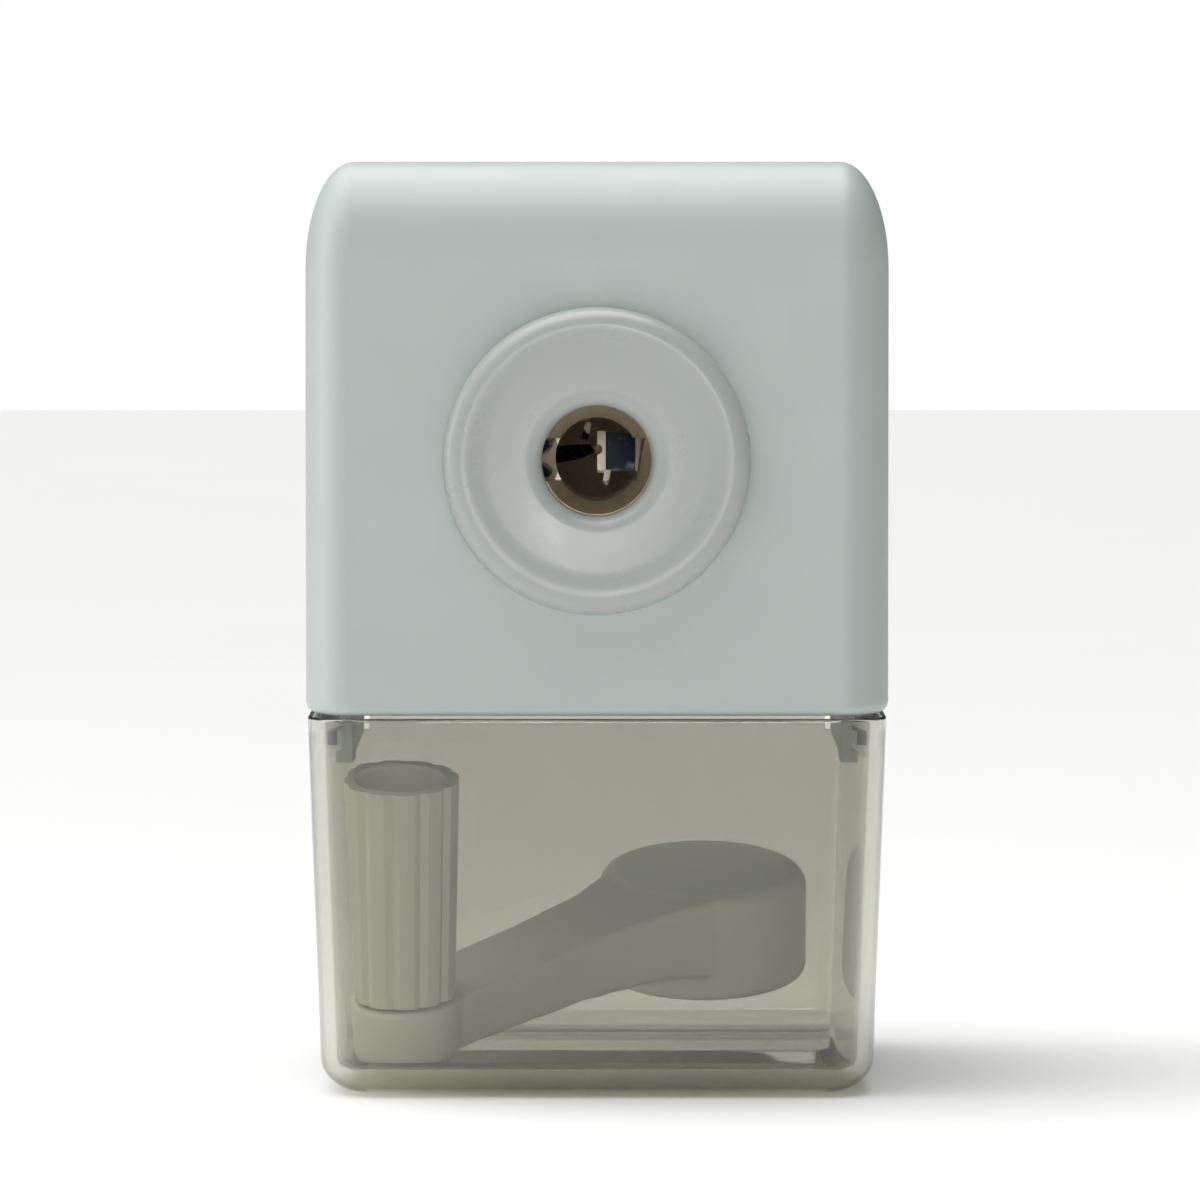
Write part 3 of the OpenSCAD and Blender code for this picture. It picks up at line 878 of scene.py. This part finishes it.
@dataclass
class Bin:
    """The smoke-clear bin that slides out of the front."""

    wall: float = 1.3
    fillet: tuple[float, float, float] = (5.0, 8.5, 3.6)
    draft: float = 1.3
    edge_round: float = 0.3
    flange: float = 1.4
    flange_reach: float = 1.3
    flange_root: float = 0.5
    flange_drop: float = 1.7
    flange_start: float = 5.0
    flange_end: float = 1.0
    notch_near: float = 24.9
    notch_far: float = 27.5
    notch_deep: float = 11.0
    notch_play: float = 0.3
    past: float = 5.0

    def build(self) -> None:
        """Builds and dresses the bin."""
        finish_piece(self.shell(), BIN_SMOKE, "bin", ["bin"])

    def shell(self) -> bpy.types.Object:
        """Builds the bin: a tapered cup with rounded foot, two hanging flanges and two notches.

        Returns:
            The new object.
        """
        low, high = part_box("bin")
        top = high.z
        above = 20 * MM
        reach = Vector(self.fillet) * MM
        obj = add_soft_box("bin_shell", low, high + Vector((0, 0, above)), reach, 12)
        cut_off(obj, Vector((0, 0, top)), Vector((0, 0, 1)))
        half = (high.x - low.x) / 2
        deep = (high.y - low.y) / 2
        with editing(obj):
            pick(obj, "VERT", lambda p: p.z < reach.z + 0.05 * MM)
            bpy.ops.transform.resize(value=(1 - self.draft * MM / half, 1 - self.draft * MM / deep, 1))
        apply_modifier(obj, "SOLIDIFY", thickness=self.wall * MM, offset=-1, use_even_offset=True)
        apply_modifier(obj, "BEVEL", width=self.edge_round * MM, segments=3, limit_method="ANGLE",
                       angle_limit=math.radians(55))
        plate_low, plate_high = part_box("floor_plate")
        rail = plate_low.z
        inner = half - self.wall * MM
        start = plate_low.y + self.flange_start * MM
        end = plate_high.y - self.flange_end * MM
        foot = rail + self.flange_drop * MM
        head = rail + (self.flange_drop + self.flange) * MM
        notches = []
        flanges = []
        for side in (-1, 1):
            xs = sorted((side * (inner - self.flange_reach * MM), side * (inner + self.flange_root * MM)))
            flanges.append(add_block("flange", Vector((xs[0], start, foot)), Vector((xs[1], end, head))))
            xs = sorted((side * self.notch_near * MM, side * self.notch_far * MM))
            notches.append(add_block(
                "notch", Vector((xs[0], high.y - self.notch_deep * MM, rail - self.notch_play * MM)),
                Vector((xs[1], high.y + self.past * MM, top + self.past * MM))))
        combine(obj, flanges, "UNION")
        combine(obj, notches, "DIFFERENCE")
        smooth(obj)
        return obj


@dataclass
class Crank:
    """The crank that lies in the bin. It is modelled upright on the knob's axis, then laid in its place."""

    boss_r: float = 6.3
    boss_top: float = 6.3
    hub_r: float = 11.15
    hub_low: float = -5.2
    hub_top: float = 6.4
    hub_rim: float = 1.8
    hub_foot: float = 0.8
    socket_r: float = 5.2
    socket_deep: float = 9.0
    pin_hole: float = 1.5
    knob_gap: float = 0.4
    knob_long: float = 23.3
    knob_r: float = 6.2
    knob_foot: float = 5.7
    cup_r: float = 4.4
    cup_depth: float = 17.3
    bore_r: float = 2.1
    flutes: int = 12
    flute_sides: int = 8
    flute_depths: tuple[float, float] = (0.42, 0.18)
    voxel: float = 0.32
    length: float = field(init=False)
    place: Matrix = field(init=False)

    def __post_init__(self) -> None:
        """Finds, from the frame, where the crank lies and how long it is."""
        joint = next(j for j in FRAME["joints"] if j["name"] == "knob_spin")
        foot = Vector(joint["pos_m"])
        axis = Vector(joint["axis"]).normalized()
        lean = math.atan2(-axis.y, axis.z)
        low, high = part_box("crank_socket")
        hub = Matrix.Rotation(-lean, 3, "X") @ ((low + high) / 2 - foot)
        self.length = math.hypot(hub.x, hub.y) / MM
        turn = math.atan2(hub.y, hub.x)
        lay = Matrix.Rotation(lean, 4, "X") @ Matrix.Rotation(turn, 4, "Z")
        self.place = Matrix.Translation(foot) @ lay

    def build(self) -> None:
        """Builds and dresses the arm and the knob."""
        finish_piece(self.arm(), CRANK_IVORY, "bin", ["crank_arm"])
        finish_piece(self.knob(), CRANK_IVORY, "knob", ["crank_knob"])

    def arm(self) -> bpy.types.Object:
        """Builds the arm: boss, swept web and hub, blended into one moulding.

        Returns:
            The new object.
        """
        up = Vector((0, 0, 1))
        out = Vector((1, 0, 0))
        boss = [(0.01, 0.0)] + arc((self.boss_r - 1.4, 1.4), 1.4, -90, 0, 6)
        boss += arc((self.boss_r - 0.3, self.boss_top - 0.3), 0.3, 0, 90, 3) + [(0.01, self.boss_top)]
        obj = turn_profile("crank_arm_moulding", boss, Vector(), up, out, 72)
        rim = self.hub_rim
        foot = self.hub_foot
        hub = [(0.01, self.hub_low)] + arc((self.hub_r - foot, self.hub_low + foot), foot, -90, 0, 5)
        hub += arc((self.hub_r - rim, self.hub_top - rim), rim, 0, 90, 8) + [(0.01, self.hub_top)]
        middle = Vector((self.length * MM, 0, 0))
        disc = turn_profile("hub", hub, middle, up, out, 96)
        join(obj, [disc, self.web()])
        apply_modifier(obj, "REMESH", mode="VOXEL", voxel_size=self.voxel * MM, adaptivity=0)
        apply_modifier(obj, "SMOOTH", factor=0.6, iterations=9)
        cuts = [add_rod("socket_seat", self.socket_r * MM, (self.hub_low - 3) * MM,
                        (self.hub_low + self.socket_deep) * MM, middle, "Z", 64),
                add_rod("pin_hole", self.pin_hole * MM, 1 * MM, 20 * MM, Vector(), "Z", 32)]
        combine(obj, cuts, "DIFFERENCE")
        place_in_mesh(obj, self.place)
        smooth(obj, 40, flat_faces=False)
        return obj

    def web(self) -> bpy.types.Object:
        """Builds the web between boss and hub, extruded station by station along X.

        A station is its place along X, the web's half width there, and the heights of its foot and its top.

        Returns:
            The new object.
        """
        thin = 0.2
        stations = [(0.5, 5.3, 0.6, 6.1), (12.0, 5.0, 0.2, 6.1), (26.0, 5.1, -0.3, 6.2),
                    (38.0, 6.0, -1.2, 6.2), (47.0, 8.2, -2.6, 6.2), (self.length, 9.6, -3.6, 6.1)]
        first = stations[0]
        bpy.ops.object.select_all(action="DESELECT")
        bpy.ops.mesh.primitive_cube_add(size=1, location=(first[0] * MM, 0, (first[2] + first[3]) / 2 * MM),
                                        scale=(thin * MM, 2 * first[1] * MM, (first[3] - first[2]) * MM))
        obj = name_new("web")
        with editing(obj):
            pick(obj, "FACE", lambda p: p.x > (first[0] + 0.05) * MM)
            for before, after in zip(stations, stations[1:]):
                shift = Vector((after[0] - before[0], 0,
                                (after[2] + after[3] - before[2] - before[3]) / 2)) * MM
                bpy.ops.mesh.extrude_region_move(TRANSFORM_OT_translate={"value": shift})
                bpy.ops.transform.resize(value=(1, after[1] / before[1],
                                                (after[3] - after[2]) / (before[3] - before[2])))
        apply_modifier(obj, "BEVEL", width=1.3 * MM, segments=4, limit_method="ANGLE",
                       angle_limit=math.radians(45))
        return obj

    def knob(self) -> bpy.types.Object:
        """Builds the knob: a tapered barrel with shallow flutes and a deep open end.

        Returns:
            The new object.
        """
        foot = self.boss_top + self.knob_gap
        top = foot + self.knob_long
        bpy.ops.object.select_all(action="DESELECT")
        bpy.ops.mesh.primitive_cone_add(vertices=self.flutes * self.flute_sides,
                                        radius1=self.knob_foot * MM, radius2=self.knob_r * MM,
                                        depth=self.knob_long * MM, location=(0, 0, (foot + top) / 2 * MM))
        obj = name_new("crank_knob_barrel")
        with editing(obj):
            pick(obj, "FACE", lambda p: p.z > (top - 0.01) * MM)
            bpy.ops.mesh.inset(thickness=0.5 * MM)
            bpy.ops.mesh.inset(thickness=(self.knob_r - self.cup_r - 0.9) * MM)
            bpy.ops.mesh.inset(thickness=0.4 * MM)
            bpy.ops.transform.translate(value=(0, 0, -0.4 * MM))
            down = (0, 0, -self.cup_depth * MM)
            bpy.ops.mesh.extrude_region_move(TRANSFORM_OT_translate={"value": down})
            pick(obj, "FACE", lambda p: p.z < (foot + 0.01) * MM)
            bpy.ops.mesh.inset(thickness=0.4 * MM)
            bpy.ops.mesh.inset(thickness=1.0 * MM)
            pick(obj, "EDGE", lambda p: abs(p.z - (foot + top) / 2 * MM) < 0.1 * MM
                 and math.hypot(p.x, p.y) > 5.5 * MM)
            bpy.ops.mesh.subdivide(number_cuts=9)
        self.cut_flutes(obj, foot, top)
        bore = add_rod("bore", self.bore_r * MM, (foot - 2) * MM, (top - self.cup_depth + 2) * MM,
                       Vector(), "Z", 48)
        combine(obj, [bore], "DIFFERENCE")
        place_in_mesh(obj, self.place)
        smooth(obj, 24)
        return obj

    def cut_flutes(self, obj: bpy.types.Object, foot: float, top: float) -> None:
        """Draws the barrel's side in, deepest in the middle of each flute.

        Args:
            obj: The barrel.
            foot: Height of its foot.
            top: Height of its top.
        """
        step = 2 * math.pi / self.flutes
        level = 0.01
        for off, depth in enumerate(self.flute_depths):
            def in_flute(p: Vector, off: int = off) -> bool:
                """Tells whether a point lies on the side, this many sides away from a flute's middle."""
                if math.hypot(p.x, p.y) < (self.knob_foot - 0.3) * MM:
                    return False
                if not (foot - level) * MM < p.z < (top + level) * MM:
                    return False
                share = (math.atan2(p.y, p.x) / step) % 1 * self.flute_sides
                return abs(min(share, self.flute_sides - share) - off) < 0.2

            with editing(obj):
                pick(obj, "VERT", in_flute)
                shrink = 1 - depth / self.knob_r
                bpy.ops.transform.resize(value=(shrink, shrink, 1))


@dataclass
class Workings:
    """Every CAD node that stays as it is and only gets its finish."""

    finishes: dict[Finish, tuple[str, ...]] = field(default_factory=lambda: {
        CASING_WHITE: ("floor_plate",),
        FRAME_GREY: ("gear_frame",),
        CARRIER_TAN_PAINTED_LIGHT: ("cutter_carrier",),
        STEEL_BRIGHT: ("drive_spindle", "spindle_cross_pin", "cutter_axle", "crank_socket", "knob_pin"),
        STEEL_PLATED: ("rear_cover_screws", "ring_retainer", "floor_plate_screws", "frame_screws",
                       "spindle_washer", "knob_washer"),
        STEEL_DARK: ("ring_gear", "spindle_clip", "axle_set_screw", "point_stop", "helical_cutter",
                     "cutter_pinion"),
        BRONZE: ("front_bearing_bush", "rear_bearing_bush"),
    })

    def build(self) -> None:
        """Dresses every node in the list."""
        for finish, names in self.finishes.items():
            for name in names:
                finish.dress(FRAME["nodes"][name])
                LOG.info("%s: dressed as %s", name, finish.name)


# ---- studio ----


@dataclass(frozen=True)
class SoftBox:
    """A square soft lamp that faces the middle of the object. Its places and its width are in metres."""

    name: str
    at: tuple[float, float, float]
    wide: float
    power: float
    aim: tuple[float, float, float] = (0.0, 0.0, 0.05)

    def build(self) -> None:
        """Hangs the lamp, out of the camera's sight."""
        turn = (Vector(self.aim) - Vector(self.at)).to_track_quat("-Z", "Y").to_euler()
        bpy.ops.object.light_add(type="AREA", location=self.at, rotation=turn)
        lamp = bpy.context.active_object
        lamp.name = self.name
        lamp.data.shape = "SQUARE"
        lamp.data.size = self.wide
        lamp.data.energy = self.power
        lamp.visible_camera = False


@dataclass
class Studio:
    """Pale floor, soft light and the camera. Angles are in degrees."""

    distance: float = 1003.0
    height: float = 94.0
    side: float = 0.3
    pitch: float = 2.44
    lens: float = 294.8
    sensor: float = 36.0
    floor_wide: float = 6000.0
    sky: str = "f4faf8"
    sky_dim: float = 0.05
    sky_bright: float = 0.24
    bright_way: tuple[float, float, float] = (-0.65, -0.76, 0.0)
    sun: float = 2.75
    sun_spread: float = 80.0
    sun_lean: tuple[float, float] = (-6.0, -16.0)
    boxes: tuple[SoftBox, ...] = (
        SoftBox("lens_box", (0.04, -1.02, 0.16), 0.16, 1.3),
        SoftBox("top_box", (-0.02, -0.02, 0.29), 0.2, 0.22),
        SoftBox("left_box", (-1.0, 0.12, 0.25), 0.7, 3.6),
    )

    def build(self) -> None:
        """Sets up the floor, the light and the camera."""
        self.floor()
        self.surround()
        self.lamps()
        self.camera()

    def floor(self) -> None:
        """Lays a plain pale board under the object."""
        bpy.ops.object.select_all(action="DESELECT")
        bpy.ops.mesh.primitive_plane_add(size=self.floor_wide * MM, location=(0, 0, 0))
        board = name_new("floor_board")
        # Painted board: matt and even, so that it takes only soft shadows
        MouldedPlastic("board_painted_white", "fdfdfb", 0.7, flow=300.0, tone=0.004).dress(board)

    def surround(self) -> None:
        """Surrounds the object with a dim light that is brightest from the front left, and seen as white."""
        world = bpy.data.worlds.new("surround")
        bpy.context.scene.world = world
        world.use_nodes = True
        tree = world.node_tree
        tree.nodes.clear()
        ray = add_node(tree, "ShaderNodeLightPath")
        seen = add_node(tree, "ShaderNodeBackground", {"Color": (1, 1, 1, 1), "Strength": 1.0})
        way = add_node(tree, "ShaderNodeTexCoord").outputs["Generated"]
        facing = add_node(tree, "ShaderNodeVectorMath", {0: way, 1: self.bright_way},
                          operation="DOT_PRODUCT")
        strength = add_node(tree, "ShaderNodeMapRange",
                            {"Value": facing.outputs["Value"], "From Min": -1.0, "From Max": 1.0,
                             "To Min": self.sky_dim, "To Max": self.sky_bright})
        fill = add_node(tree, "ShaderNodeBackground",
                        {"Color": linear(self.sky), "Strength": strength.outputs["Result"]})
        mix = add_node(tree, "ShaderNodeMixShader",
                       {0: ray.outputs["Is Camera Ray"], 1: fill.outputs[0], 2: seen.outputs[0]})
        add_node(tree, "ShaderNodeOutputWorld", {"Surface": mix.outputs[0]})

    def lamps(self) -> None:
        """Hangs a wide soft source overhead, and the soft boxes."""
        turn = (math.radians(self.sun_lean[0]), math.radians(self.sun_lean[1]), 0)
        bpy.ops.object.light_add(type="SUN", location=(0, 0, 1), rotation=turn)
        sun = bpy.context.active_object
        sun.name = "overhead"
        sun.data.energy = self.sun
        sun.data.angle = math.radians(self.sun_spread)
        for box in self.boxes:
            box.build()

    def camera(self) -> None:
        """Places the camera level with the casing's top, looking slightly down."""
        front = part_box("main_casing")[0].y
        at = (self.side * MM, front - self.distance * MM, self.height * MM)
        bpy.ops.object.camera_add(location=at, rotation=(math.radians(90 - self.pitch), 0, 0))
        camera = bpy.context.active_object
        camera.data.lens = self.lens
        camera.data.sensor_width = self.sensor
        camera.data.clip_end = 50
        bpy.context.scene.camera = camera
        bpy.context.scene.view_settings.view_transform = "Standard"


def main() -> None:
    """Builds the whole scene round the frame."""
    logging.basicConfig(level=logging.INFO, format="%(name)s %(message)s")
    Studio().build()
    Workings().build()
    Housing().build()
    Bin().build()
    Crank().build()


if __name__ == "__main__":
    main()
